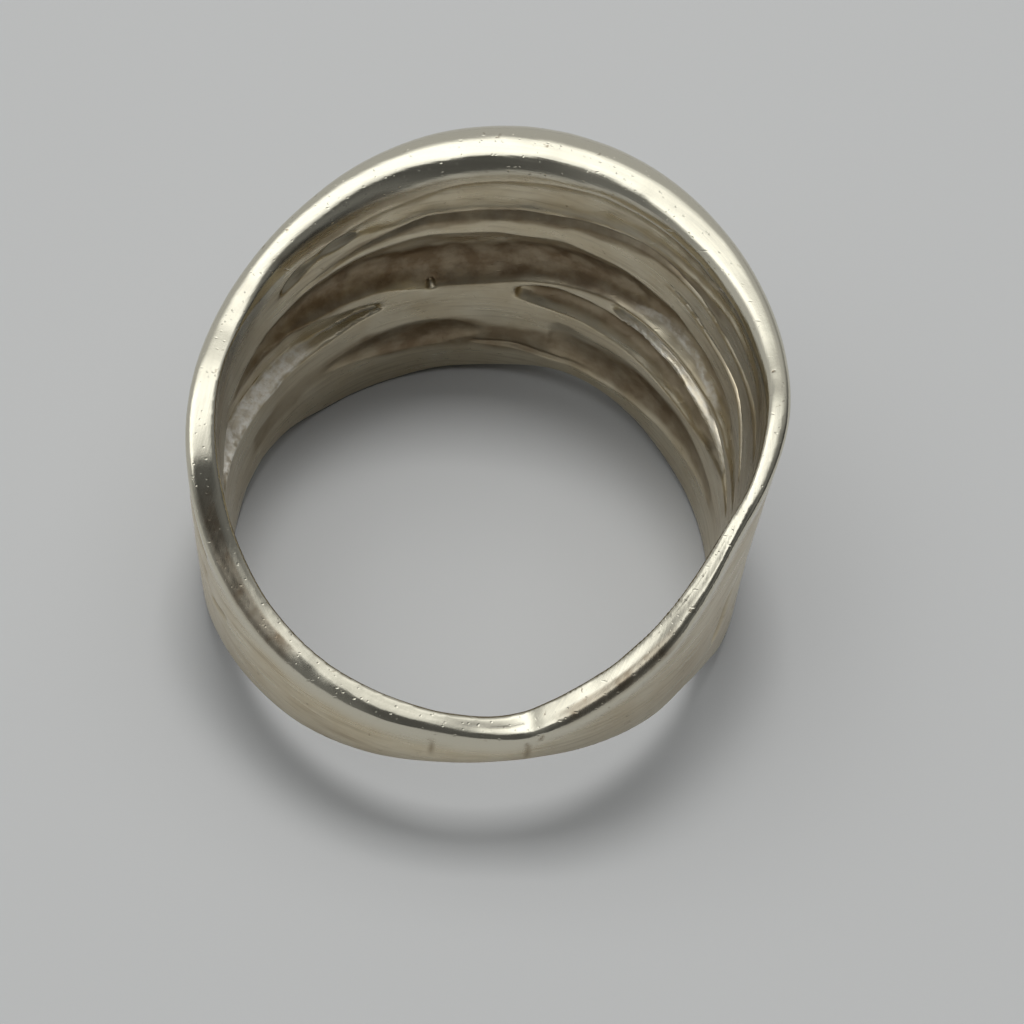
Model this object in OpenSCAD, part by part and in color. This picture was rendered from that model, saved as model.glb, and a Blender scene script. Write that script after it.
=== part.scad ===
// Silver ring: a band that is wide and carved at the front and narrows to a thin shank.
// It lies on the lower rim of its wide front: the finger hole is upright and the shank is clear of the floor.
// Millimetres, +Z up. The origin is on the floor, under the middle of the ring's outline.
// Angles run anticlockwise seen from above: 0 is the right side, 90 the middle of the front, 270 the shank.

/* [Sizes] */
// diameter of the finger hole
bore_d = 18; // [15:0.5:21]
// height of the band at its widest
band_height = 13.5; // [11.5:0.1:17]
// wall thickness, as a multiple of the modelled one
wall_scale = 1; // [0.9:0.05:1.3]

/* [Relief] */
// depth of the hollow behind the widest fold of the band
hollow_depth = 0.5; // [0.3:0.05:0.7]
// depth of the two recesses and the shelf that the slits lie in
recess_depth = 0.5; // [0.3:0.05:0.65]
// depth of the narrow grooves inside the band
groove_depth = 0.24; // [0.1:0.02:0.4]
// depth of the valleys between the folds outside the band
valley_depth = 0.45; // [0.1:0.05:0.5]
// the three slits go right through the wall
open_slits = true;

/* [Fineness] */
// angle between two sections of the band
section_step = 5; // [4.5, 5, 7.5]

/* [Hidden] */
bore_r = bore_d / 2;
// the finger hole is exact between these heights, where there is wall all the way round
belt_low = 3.9;
belt_top = 6.6;
// outside the belt the wall stands back this far from the finger hole, inside it as far the other way
relief = 0.05;
belt_edge = 0.25;
// place of the finger hole's axis along Y, with the origin under the middle of the ring's outline
axis_y = -0.4;
// height over which the inside flares towards the upper rim
flare_height = 5;
// rounding of the lower rim, and where its middle point lies, as a share of it
rim_round = 0.2;
rim_soft = 0.3;
// slope of the upper rim's flat top, down towards the shank's side. Between two angles it is level.
rim_tilt = 0.18;
level_from = 300;
level_to = 350;
// depth of the shallow hollows near the rims
shallow_depth = 0.18;
// angle between two sections of a cutter
cut_step = 1.4 * section_step;
// how far a slit's cutter goes out from the finger hole, and how far each cutter reaches into it
cut_reach = 4;
cut_inner = 1;
// points up the inside above the belt, and least distance between two of them
inner_levels = 2;
min_gap = 0.03;
// least height and depth of a hollow
least_height = 0.05;
least_depth = 0.02;
silver = [0.80, 0.78, 0.74];

// Columns of the band's table
LOW = 1;
TOP = 2;
FLARE = 3;
T_TOP = 4;
T_MID = 5;
T_LOW = 6;

// The band, section by section: heights of its lower and upper edge, how far the inside flares at the upper
// rim, and wall thickness at the top, the middle and the bottom
band = [
    // angle, low, top, flare, top t, mid t, low t
    [0, 0.25, 13.15, 0.30, 1.11, 1.00, 1.10],
    [15, 0.00, 13.12, 0.25, 1.25, 1.38, 1.32],
    [30, 0.15, 13.10, 0.22, 1.42, 1.60, 1.40],
    [45, 0.50, 13.20, 0.20, 1.68, 1.75, 1.40],
    [60, 1.00, 13.45, 0.15, 1.92, 1.90, 1.40],
    [75, 1.10, 13.48, 0.10, 2.14, 2.00, 1.40],
    [90, 0.50, 13.32, 0.05, 2.22, 2.00, 1.40],
    [105, 0.20, 12.95, 0.05, 2.14, 1.95, 1.40],
    [120, 0.00, 12.42, 0.05, 1.88, 1.85, 1.35],
    [135, 0.05, 11.80, 0.05, 1.50, 1.70, 1.30],
    [150, 0.60, 11.20, 0.10, 1.30, 1.50, 1.30],
    [165, 0.65, 10.95, 0.10, 1.14, 1.35, 1.25],
    [180, 0.00, 10.82, 0.10, 1.09, 1.25, 1.20],
    [195, 0.80, 10.15, 0.05, 1.14, 1.15, 1.05],
    [210, 2.20, 8.60, 0.00, 1.12, 1.15, 1.05],
    [225, 3.00, 7.70, 0.00, 0.95, 1.15, 1.10],
    [240, 3.35, 7.20, 0.00, 0.85, 1.15, 1.10],
    [255, 3.85, 6.85, 0.00, 0.80, 1.10, 1.05],
    [268, 4.40, 6.66, 0.00, 0.70, 1.05, 1.00],
    [280, 4.65, 6.47, 0.00, 0.84, 1.05, 1.00],
    [286, 4.65, 6.57, 0.00, 0.96, 1.07, 1.00],
    [290, 4.62, 6.92, 0.00, 1.04, 1.08, 1.00],
    [300, 4.35, 7.84, 0.00, 1.10, 1.10, 1.00],
    [315, 3.80, 9.35, 0.00, 1.03, 1.04, 0.95],
    [325, 3.60, 10.60, 0.00, 0.82, 0.92, 0.86],
    [335, 2.80, 11.72, 0.03, 0.66, 0.84, 0.84],
    [345, 1.30, 12.60, 0.22, 0.84, 0.84, 0.90]
];

// Columns of the rim's table
OUT_W = 1;
OUT_H = 2;
IN_W = 3;
IN_H = 4;

// How wide and how high the outer and the inner edge of the upper rim are rounded
rim = [
    // angle, out w, out h, in w, in h
    [0, 0.32, 0.30, 0.20, 0.25],
    [15, 0.36, 0.35, 0.45, 0.50],
    [30, 0.40, 0.38, 0.50, 0.60],
    [45, 0.50, 0.45, 0.38, 0.60],
    [60, 0.80, 0.60, 0.50, 0.80],
    [75, 0.98, 0.70, 0.60, 0.90],
    [90, 1.00, 0.72, 0.62, 0.95],
    [105, 0.95, 0.70, 0.65, 1.00],
    [120, 0.75, 0.60, 0.75, 1.10],
    [135, 0.50, 0.45, 0.60, 1.00],
    [150, 0.42, 0.40, 0.40, 0.70],
    [165, 0.38, 0.33, 0.12, 0.20],
    [180, 0.28, 0.25, 0.07, 0.10],
    [195, 0.28, 0.25, 0.22, 0.12],
    [210, 0.45, 0.40, 0.28, 0.14],
    [225, 0.62, 0.52, 0.16, 0.14],
    [240, 0.62, 0.50, 0.12, 0.14],
    [255, 0.42, 0.32, 0.12, 0.14],
    [262, 0.34, 0.26, 0.12, 0.15],
    [268, 0.28, 0.20, 0.20, 0.28],
    [281, 0.26, 0.18, 0.20, 0.28],
    [288, 0.36, 0.30, 0.12, 0.14],
    [300, 0.44, 0.52, 0.12, 0.14],
    [315, 0.34, 0.38, 0.10, 0.12],
    [325, 0.20, 0.20, 0.10, 0.12],
    [335, 0.14, 0.14, 0.10, 0.12],
    [345, 0.20, 0.20, 0.12, 0.14]
];

// Cross sections of the cutters: share of the way from the lower to the upper border, share of the depth
dish = [[0.06, 0.30], [0.26, 0.81], [0.50, 1.00], [0.74, 0.81], [0.94, 0.30]];
bowl = [[0.05, 0.28], [0.20, 0.76], [0.42, 1.00], [0.70, 0.70], [0.92, 0.20]];
ledge = [[0.04, 0.08], [0.14, 0.60], [0.26, 0.97], [0.60, 0.46], [0.90, 0.09]];
notch = [[0.14, 0.40], [0.36, 1.00], [0.64, 1.00], [0.86, 0.40]];
step = [[0.36, 0.50], [0.75, 1.00], [0.90, 0.50]];
slot = [[0.00, 1.00], [1.00, 1.00]];

// Columns of the tables of the hollows, grooves and slits inside the band
LO = 1;
HI = 2;
PART = 3;

// Each row is an angle, the heights of the lower and the upper border, and the share of the depth
upper_hollow = [
    [5, 11.60, 12.30, 0.2], [20, 11.90, 12.50, 0.5], [40, 11.60, 12.50, 0.9], [60, 11.40, 12.60, 1.0],
    [80, 10.90, 12.50, 1.0], [100, 10.60, 12.00, 1.0], [118, 10.20, 11.30, 0.8], [130, 10.50, 10.90, 0.2]
];
upper_groove = [
    [-4, 10.95, 11.20, 0.3], [4, 10.90, 11.30, 0.9], [12, 10.85, 11.20, 0.9], [19, 10.80, 11.05, 0.7],
    [29, 10.72, 10.90, 0.5], [40, 10.88, 11.08, 0.6], [56, 10.92, 11.32, 0.9], [70, 10.55, 11.05, 1.0],
    [80, 10.22, 10.78, 1.0], [90, 10.05, 10.65, 1.0], [100, 9.90, 10.50, 1.0], [110, 9.80, 10.30, 1.0],
    [120, 9.45, 9.80, 0.8], [132, 9.10, 9.30, 0.4], [145, 8.85, 9.00, 0.2]
];
side_pits = [
    [125, 10.50, 10.65, 0.3], [131, 10.15, 10.80, 1.0], [137, 10.20, 10.55, 0.3], [143, 9.75, 10.45, 0.9],
    [149, 9.65, 9.85, 0.3]
];
middle_hollow = [
    [-2, 6.90, 7.10, 0.1], [10, 6.60, 7.90, 0.4], [20, 6.75, 8.60, 0.7], [30, 6.85, 8.90, 0.9],
    [45, 7.10, 9.15, 1.0], [62, 7.15, 9.40, 1.0], [75, 6.85, 9.45, 1.0], [86, 6.40, 9.35, 1.0],
    [97, 5.95, 9.25, 1.0], [110, 5.95, 9.20, 1.0], [124, 6.45, 9.00, 1.0], [140, 6.60, 8.75, 1.0],
    [155, 6.80, 8.40, 0.7], [170, 7.30, 7.90, 0.3], [178, 7.50, 7.60, 0.1]
];
right_recess = [
    [14, 5.10, 5.30, 0.2], [28, 4.40, 5.60, 0.6], [40, 4.25, 5.95, 0.9], [50, 4.50, 6.15, 1.0],
    [60, 4.80, 6.40, 1.0], [70, 5.00, 6.50, 1.0], [80, 5.05, 6.45, 1.0], [88, 5.45, 5.95, 0.7]
];
right_shelf = [
    [4, 5.00, 5.30, 0.2], [10, 4.95, 5.80, 0.4], [19, 5.25, 6.40, 0.5], [28, 5.60, 6.75, 0.6],
    [37, 5.90, 6.85, 0.8], [48, 5.95, 7.00, 1.0], [57, 6.25, 7.05, 0.9], [64, 6.80, 7.20, 0.3]
];
left_recess = [
    [119, 5.20, 5.60, 0.4], [125, 4.95, 5.90, 0.7], [131, 4.75, 6.10, 0.8], [140, 4.55, 6.60, 1.0],
    [148, 4.48, 7.40, 1.0], [158, 4.52, 7.90, 1.0], [168, 4.70, 7.90, 1.0], [178, 5.00, 7.40, 0.7],
    [187, 5.50, 6.50, 0.2]
];
right_groove = [
    [1, 8.00, 8.30, 0.4], [6, 8.50, 8.90, 1.0], [12, 9.10, 9.50, 1.0], [18, 9.60, 9.95, 1.0],
    [24, 9.70, 9.95, 0.8], [34, 9.74, 9.92, 0.5], [42, 9.95, 10.08, 0.4], [52, 10.15, 10.25, 0.2]
];
lower_left_hollow = [
    [94, 2.80, 3.20, 0.2], [104, 2.20, 3.70, 1.0], [114, 2.10, 3.80, 1.0], [124, 2.30, 3.50, 0.7],
    [136, 2.70, 3.10, 0.2]
];
lower_right_hollow = [
    [16, 2.60, 3.20, 0.2], [34, 2.00, 3.80, 0.8], [50, 1.90, 4.00, 1.0], [66, 1.90, 4.20, 1.0],
    [76, 2.30, 4.40, 0.9], [79, 2.80, 3.90, 0.2]
];
lower_groove = [
    [34, 1.90, 2.10, 0.2], [50, 1.86, 2.16, 0.4], [72, 1.86, 2.20, 0.8], [88, 1.95, 2.35, 1.0],
    [98, 2.10, 2.35, 0.3]
];
left_slit = [
    [143, 4.95, 5.10, 1.0], [148, 4.82, 5.14, 1.0], [156, 4.80, 5.18, 1.0], [165, 4.95, 5.30, 1.0],
    [172, 5.12, 5.32, 1.0]
];
upper_slit = [
    [30, 6.02, 6.14, 1.0], [36, 6.16, 6.42, 1.0], [48, 6.26, 6.56, 1.0], [56, 6.52, 6.78, 1.0],
    [62, 6.86, 6.96, 1.0]
];
lower_slit = [
    [7, 5.20, 5.32, 1.0], [13, 5.28, 5.48, 1.0], [19, 5.56, 5.80, 1.0], [25, 5.78, 5.98, 1.0],
    [28, 5.92, 6.04, 1.0]
];

// Columns of the outside's table
UPPER = 1;
MIDDLE = 2;
LOWER = 3;
HALF = 4;
SHARE = 5;

// The three valleys between the four folds of the outside: heights, half their width, share of the depth.
// They run out before the shank.
valleys = [
    // angle, upper, middle, lower, half, share
    [0, 10.90, 6.15, 3.80, 0.45, 0.50],
    [20, 11.20, 6.20, 3.80, 0.45, 1.00],
    [55, 10.90, 6.75, 4.00, 0.50, 1.00],
    [90, 10.20, 6.45, 4.20, 0.50, 1.00],
    [125, 9.40, 6.10, 3.90, 0.50, 1.00],
    [155, 8.90, 5.25, 3.20, 0.45, 0.90],
    [180, 8.50, 5.50, 3.00, 0.40, 0.60],
    [202, 7.80, 5.70, 3.60, 0.30, 0.20],
    [215, 7.10, 5.70, 4.10, 0.20, 0.00],
    [240, 6.30, 5.30, 4.30, 0.15, 0.00],
    [270, 6.15, 5.57, 5.00, 0.10, 0.00],
    [300, 6.60, 5.85, 5.10, 0.15, 0.00],
    [335, 9.40, 6.35, 4.40, 0.25, 0.00],
    [347, 10.30, 6.20, 4.00, 0.35, 0.18]
];

// Smooth curve through one column of a table, for an angle between its first and last rows
function row_before(rows, a, i = 0) =
    i >= len(rows) - 2 || rows[i + 1][0] > a ? i : row_before(rows, a, i + 1);
function slope(rows, col, i) =
    let (p = max(i - 1, 0), n = min(i + 1, len(rows) - 1))
    (rows[n][col] - rows[p][col]) / (rows[n][0] - rows[p][0]);
function curve(rows, col, a) =
    let (i = row_before(rows, a), w = rows[i + 1][0] - rows[i][0], t = (a - rows[i][0]) / w, s = 1 - t)
    rows[i][col] * (1 + 2 * t) * s * s + rows[i + 1][col] * (3 - 2 * t) * t * t
    + w * t * s * (slope(rows, col, i) * s - slope(rows, col, i + 1) * t);

// The band's, the rim's and the valleys' tables go round, so each is read with a turn before and after it
function turned(rows, by) = [for (r = rows) [for (i = [0 : len(r) - 1]) r[i] + (i == 0 ? by : 0)]];
band_loop = concat(turned(band, -360), band, turned(band, 360));
rim_loop = concat(turned(rim, -360), rim, turned(rim, 360));
valley_loop = concat(turned(valleys, -360), valleys, turned(valleys, 360));
function of_band(col, a) = curve(band_loop, col, a);
function of_rim(col, a) = curve(rim_loop, col, a);
function of_valley(col, a) = curve(valley_loop, col, a);

function clamp(x) = min(1, max(0, x));
function ease(x) = let (s = clamp(x)) s * s * (3 - 2 * s);
function on_wall(r, a, z) = [r * cos(a), r * sin(a), z];

// Inside of the wall: just within the finger hole in the belt, elsewhere just outside it and flaring
function inner_r(a, z) =
    let (off_belt = clamp(max(belt_low - z, z - belt_top) / belt_edge),
         rise = ease(1 - (of_band(TOP, a) - z) / flare_height))
    bore_r + relief * (2 * off_belt - 1) + of_band(FLARE, a) * rise * off_belt;

// Outside of the wall before its valleys: a bulge through the thickness at the bottom, the middle and the top
function outer_r(a, z) =
    let (low = max(0, of_band(LOW, a)), u = clamp((z - low) / (of_band(TOP, a) - low)))
    bore_r + wall_scale * (of_band(T_LOW, a) * (1 - u) * (1 - 2 * u)
        + of_band(T_MID, a) * 4 * u * (1 - u) + of_band(T_TOP, a) * u * (2 * u - 1));

// One valley of the outside, from its upper to its lower border: height, share of the depth
valley_shape = [[1, 0.25], [0.45, 0.8], [0, 1], [-0.45, 0.8], [-1, 0.25]];
function valley(a, col) =
    let (z = of_valley(col, a), w = of_valley(HALF, a), d = valley_depth * max(0, of_valley(SHARE, a)))
    [for (p = valley_shape) [z + w * p[0], d * p[1]]];

// Heights and depths down the outside: the folds' crests lie halfway between the valleys
function crest(above, below) = [(above + below) / 2, 0];
function outside_levels(a, from, to) =
    let (u = valley(a, UPPER), m = valley(a, MIDDLE), l = valley(a, LOWER), last = len(valley_shape) - 1)
    concat([[from, 0], crest(from, u[0][0])], u, [crest(u[last][0], m[0][0])], m,
        [crest(m[last][0], l[0][0])], l, [crest(l[last][0], to), [to, 0]]);

// Quarter of an ellipse for an edge of the upper rim, between two angles
corner_points = 3;
function rim_corner(a, r, z, w, h, from, to, ks) =
    [for (k = ks)
        let (t = from + (to - from) * k / corner_points)
        on_wall(r + w * cos(t), a, z + h * sin(t))];

// One closed section of the band: up the inside, over the rounded upper rim, down the outside
function band_section(a) =
    let (low = max(0, of_band(LOW, a)),
         top = of_band(TOP, a),
         out_w = wall_scale * of_rim(OUT_W, a),
         out_z = top - of_rim(OUT_H, a),
         in_w = wall_scale * of_rim(IN_W, a),
         in_h = of_rim(IN_H, a),
         ro = outer_r(a, out_z),
         ri = inner_r(a, top - in_h),
         lean = a > level_from && a < level_to ? 0 : rim_tilt * sin(a),
         in_z = top - in_h - lean * (ro - out_w - ri - in_w),
         z0 = low + rim_round,
         z1 = max(z0 + min_gap, belt_low - belt_edge),
         z2 = max(z1 + min_gap, belt_low),
         z3 = min(belt_top, in_z - (inner_levels + 1) * min_gap),
         z4 = min(belt_top + belt_edge, z3 + belt_edge, in_z - inner_levels * min_gap),
         above = [for (k = [0 : inner_levels]) z4 + (in_z - z4) * k / inner_levels],
         heights = concat([z0, z1, z2, z3], above),
         bi = inner_r(a, z0),
         bo = outer_r(a, z0),
         soft = rim_soft * rim_round)
    concat(
        [for (z = heights) on_wall(inner_r(a, z), a, z)],
        rim_corner(a, inner_r(a, in_z) + in_w, in_z, in_w, in_h, 180, 90, [1 : corner_points]),
        rim_corner(a, ro - out_w, out_z, out_w, top - out_z, 90, 0, [0 : corner_points - 1]),
        [for (p = outside_levels(a, out_z, z0)) on_wall(outer_r(a, p[0]) - p[1], a, p[0])],
        [on_wall(bo - soft, a, low + soft), on_wall(bo - rim_round, a, low),
         on_wall(bi + rim_round, a, low), on_wall(bi + soft, a, low + soft)]);

// Solid through a row of sections. Each section is a closed loop of the same number of points.
module loft(sections, closed) {
    n = len(sections);
    m = len(sections[0]);
    points = [for (s = sections) each s];
    sides = [for (i = [0 : n - (closed ? 1 : 2)], j = [0 : m - 1])
        let (i2 = (i + 1) % n, j2 = (j + 1) % m)
        each [[i * m + j, i2 * m + j, i2 * m + j2], [i * m + j, i2 * m + j2, i * m + j2]]];
    ends = closed ? [] : [[for (j = [0 : m - 1]) j], [for (j = [0 : m - 1]) n * m - 1 - j]];
    polyhedron(points = points, faces = concat(sides, ends), convexity = 10);
}

// Angles of a cutter's sections, ends included. The phase keeps apart the sections of cutters that cross.
function cut_angles(rows, phase) =
    let (first = rows[0][0],
         last = rows[len(rows) - 1][0],
         start = floor(first / cut_step - phase) + 1,
         end = ceil(last / cut_step - phase) - 1)
    concat([first], [for (k = [start : end]) (k + phase) * cut_step], [last]);

// One section of a cutter that works from the finger hole outwards
function cut_section(rows, shape, depth, a) =
    let (lo = curve(rows, LO, a),
         hi = max(curve(rows, HI, a), lo + least_height),
         d = max(least_depth, depth * curve(rows, PART, a)))
    concat(
        [on_wall(bore_r - cut_inner, a, hi)],
        [for (k = [len(shape) - 1 : -1 : 0])
            on_wall(bore_r + d * shape[k][1], a, lo + (hi - lo) * shape[k][0])],
        [on_wall(bore_r - cut_inner, a, lo)]);
module carve(rows, shape, depth, phase) {
    loft([for (a = cut_angles(rows, phase)) cut_section(rows, shape, depth, a)], false);
}

module folded_band() {
    loft([for (a = [section_step / 2 : section_step : 360]) band_section(a)], true);
}

module inside_relief() {
    carve(upper_hollow, dish, shallow_depth, 0);
    carve(upper_groove, step, groove_depth, 0.3);
    carve(side_pits, dish, recess_depth, 0.7);
    carve(middle_hollow, bowl, hollow_depth, 0.1);
    carve(right_recess, dish, recess_depth, 0.85);
    carve(right_shelf, ledge, recess_depth, 0.6);
    carve(right_groove, notch, groove_depth, 0.55);
    carve(left_recess, ledge, recess_depth, 0.85);
    carve(lower_left_hollow, bowl, shallow_depth, 0);
    carve(lower_right_hollow, bowl, shallow_depth, 0);
    carve(lower_groove, notch, shallow_depth, 0.3);
}

module slits() {
    carve(left_slit, slot, cut_reach, 0.25);
    carve(upper_slit, slot, cut_reach, 0.25);
    carve(lower_slit, slot, cut_reach, 0.45);
}

module carved_band() {
    difference() {
        folded_band();
        inside_relief();
        if (open_slits) slits();
    }
}

// The ring is one cast piece, stretched to its height and bored out to the finger's size
module ring() {
    color(silver)
    translate([0, axis_y, 0])
    difference() {
        resize([0, 0, band_height]) carved_band();
        translate([0, 0, -1]) cylinder(h = band_height + 2, d = bore_d, $fn = 180);
    }
}

ring();
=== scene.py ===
"""Silver band ring, lying on the lower rim of its wide front.

Blender works in metres, and the tables are in millimetres. Angles run anticlockwise seen from above: 0 is the
ring's right side, 90 the middle of the wide front, 270 the shank. The wall is described on a cylinder, by the
radius of its inside and its outside at each angle and height, less hollows and slits.
"""
import itertools
import math

import bpy
import numpy as np
from mathutils import Matrix, Vector


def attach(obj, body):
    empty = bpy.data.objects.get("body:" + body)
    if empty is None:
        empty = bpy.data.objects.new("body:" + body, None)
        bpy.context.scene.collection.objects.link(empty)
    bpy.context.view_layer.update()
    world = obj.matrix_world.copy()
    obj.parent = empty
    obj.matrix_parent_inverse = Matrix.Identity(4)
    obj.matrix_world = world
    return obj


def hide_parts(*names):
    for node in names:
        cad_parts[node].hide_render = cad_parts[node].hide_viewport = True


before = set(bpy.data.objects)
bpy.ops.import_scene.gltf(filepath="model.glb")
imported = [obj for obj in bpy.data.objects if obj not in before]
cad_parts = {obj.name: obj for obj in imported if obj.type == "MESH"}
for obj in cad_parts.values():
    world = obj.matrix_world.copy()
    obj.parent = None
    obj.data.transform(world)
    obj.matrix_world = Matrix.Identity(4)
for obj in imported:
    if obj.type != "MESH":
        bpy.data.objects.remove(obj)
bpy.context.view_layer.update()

MM = 0.001
# Least values of what is divided by
SMALL = 1e-6
TINY = 1e-9

# Radius of the finger hole, and of the middle of the wall
BORE_R = 9.0
WALL_R = 9.5
# The finger hole's axis lies this far along Y, so that the origin is under the middle of the ring's outline
AXIS_Y = -0.4
# The inside stands back this far from the finger hole, and flares over this height towards the upper rim
RELIEF = 0.04
FLARE_HEIGHT = 5.0
# Rounding of the lower rim, and of the slits' edges
LOW_ROUND = 0.22
SLIT_ROUND = 0.06
# Arc length of one degree in the middle of the wall
DEGREE = math.radians(1) * WALL_R

# Columns of the band's table
LOW, TOP, FLARE, T_TOP, T_MID, T_LOW = range(1, 7)
BAND = [
    # angle, low, top, flare, top t, mid t, low t
    [0, 0.25, 13.15, 0.30, 1.11, 1.00, 1.10],
    [15, 0.00, 13.12, 0.25, 1.25, 1.38, 1.32],
    [30, 0.15, 13.10, 0.22, 1.42, 1.60, 1.40],
    [45, 0.50, 13.20, 0.20, 1.68, 1.75, 1.40],
    [60, 1.00, 13.45, 0.15, 1.92, 1.90, 1.40],
    [75, 1.10, 13.48, 0.10, 2.14, 2.00, 1.40],
    [90, 0.50, 13.32, 0.05, 2.22, 2.00, 1.40],
    [105, 0.20, 12.95, 0.05, 2.14, 1.95, 1.40],
    [120, 0.00, 12.42, 0.05, 1.88, 1.85, 1.35],
    [135, 0.05, 11.80, 0.05, 1.50, 1.70, 1.30],
    [150, 0.60, 11.20, 0.10, 1.30, 1.50, 1.30],
    [165, 0.65, 10.95, 0.10, 1.14, 1.35, 1.25],
    [180, 0.00, 10.82, 0.10, 1.09, 1.25, 1.20],
    [195, 0.80, 10.15, 0.05, 1.14, 1.15, 1.05],
    [210, 2.20, 8.60, 0.00, 1.12, 1.15, 1.05],
    [225, 3.00, 7.70, 0.00, 0.95, 1.15, 1.10],
    [240, 3.35, 7.20, 0.00, 0.85, 1.15, 1.10],
    [255, 3.85, 6.85, 0.00, 0.80, 1.10, 1.05],
    [268, 4.40, 6.66, 0.00, 0.70, 1.05, 1.00],
    [280, 4.65, 6.47, 0.00, 0.84, 1.05, 1.00],
    [286, 4.65, 6.57, 0.00, 0.96, 1.07, 1.00],
    [290, 4.62, 6.92, 0.00, 1.04, 1.08, 1.00],
    [300, 4.35, 7.84, 0.00, 1.10, 1.10, 1.00],
    [315, 3.80, 9.35, 0.00, 1.03, 1.04, 0.95],
    [325, 3.60, 10.60, 0.00, 0.82, 0.92, 0.86],
    [335, 2.80, 11.72, 0.03, 0.66, 0.84, 0.84],
    [345, 1.30, 12.60, 0.22, 0.84, 0.84, 0.90],
]

# Columns of the rim's table: how wide and how high its outer and its inner edge are rounded
OUT_W, OUT_H, IN_W, IN_H = range(1, 5)
RIM = [
    # angle, out w, out h, in w, in h
    [0, 0.32, 0.30, 0.20, 0.25],
    [15, 0.36, 0.35, 0.45, 0.50],
    [30, 0.40, 0.38, 0.50, 0.60],
    [45, 0.50, 0.45, 0.38, 0.60],
    [60, 0.80, 0.60, 0.50, 0.80],
    [75, 0.98, 0.70, 0.60, 0.90],
    [90, 1.00, 0.72, 0.62, 0.95],
    [105, 0.95, 0.70, 0.65, 1.00],
    [120, 0.75, 0.60, 0.75, 1.10],
    [135, 0.50, 0.45, 0.60, 1.00],
    [150, 0.42, 0.40, 0.40, 0.70],
    [165, 0.38, 0.33, 0.12, 0.20],
    [180, 0.28, 0.25, 0.07, 0.10],
    [195, 0.28, 0.25, 0.22, 0.12],
    [210, 0.45, 0.40, 0.28, 0.14],
    [225, 0.62, 0.52, 0.16, 0.14],
    [240, 0.62, 0.50, 0.12, 0.14],
    [255, 0.42, 0.32, 0.12, 0.14],
    [262, 0.34, 0.26, 0.12, 0.15],
    [268, 0.28, 0.20, 0.20, 0.28],
    [281, 0.26, 0.18, 0.20, 0.28],
    [288, 0.36, 0.30, 0.12, 0.14],
    [300, 0.44, 0.52, 0.12, 0.14],
    [315, 0.34, 0.38, 0.10, 0.12],
    [325, 0.20, 0.20, 0.10, 0.12],
    [335, 0.14, 0.14, 0.10, 0.12],
    [345, 0.20, 0.20, 0.12, 0.14],
]
# The rim's top falls this steeply towards the shank's side, as a file leaves it, at most over LEAN_REACH.
# It is level between two angles and falls inwards between two others, beginning and ending over some degrees.
RIM_TILT = 0.18
LEAN_REACH = 2
LEVEL_FROM, LEVEL_TO = 292, 352
LEVEL_BEGINS, LEVEL_ENDS = 16, 10
INWARD_TILT = 0.12
INWARD_FROM, INWARD_TO = 318, 360
INWARD_BEGINS, INWARD_ENDS = 12, 8
# Groove along the rim's top, from the shank to the ring's right side
RIM_GROOVE = [
    # angle, radius
    [268, 9.50],
    [281, 9.55],
    [295, 9.60],
    [306, 9.53],
    [318, 9.38],
    [330, 9.36],
    [338, 9.30],
    [352, 9.28],
]
RIM_GROOVE_HALF = 0.09
RIM_GROOVE_DEPTH = 0.03
RIM_GROOVE_BEGINS, RIM_GROOVE_ENDS = 14, 20

# Columns of the outside's table: heights of the three valleys, half their width, share of their depth
UPPER, MIDDLE, LOWER, HALF, SHARE = range(1, 6)
VALLEY_DEPTH = 0.45
# Form of a valley's cross section: its width, and how rounded its bottom is
VALLEY_WIDTH = 0.9
VALLEY_EDGE = 1.3
VALLEYS = [
    # angle, upper, middle, lower, half, share
    [0, 10.90, 6.15, 3.80, 0.45, 0.50],
    [20, 11.20, 6.20, 3.80, 0.45, 1.00],
    [55, 10.90, 6.75, 4.00, 0.50, 1.00],
    [90, 10.20, 6.45, 4.20, 0.50, 1.00],
    [125, 9.40, 6.10, 3.90, 0.50, 1.00],
    [155, 8.90, 5.25, 3.20, 0.45, 0.90],
    [180, 8.50, 5.50, 3.00, 0.40, 0.60],
    [202, 7.80, 5.70, 3.60, 0.30, 0.20],
    [215, 7.10, 5.70, 4.10, 0.20, 0.00],
    [240, 6.30, 5.30, 4.30, 0.15, 0.00],
    [270, 6.15, 5.57, 5.00, 0.10, 0.00],
    [300, 6.60, 5.85, 5.10, 0.15, 0.00],
    [335, 9.40, 6.35, 4.40, 0.25, 0.00],
    [347, 10.30, 6.20, 4.00, 0.35, 0.18],
]

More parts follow.
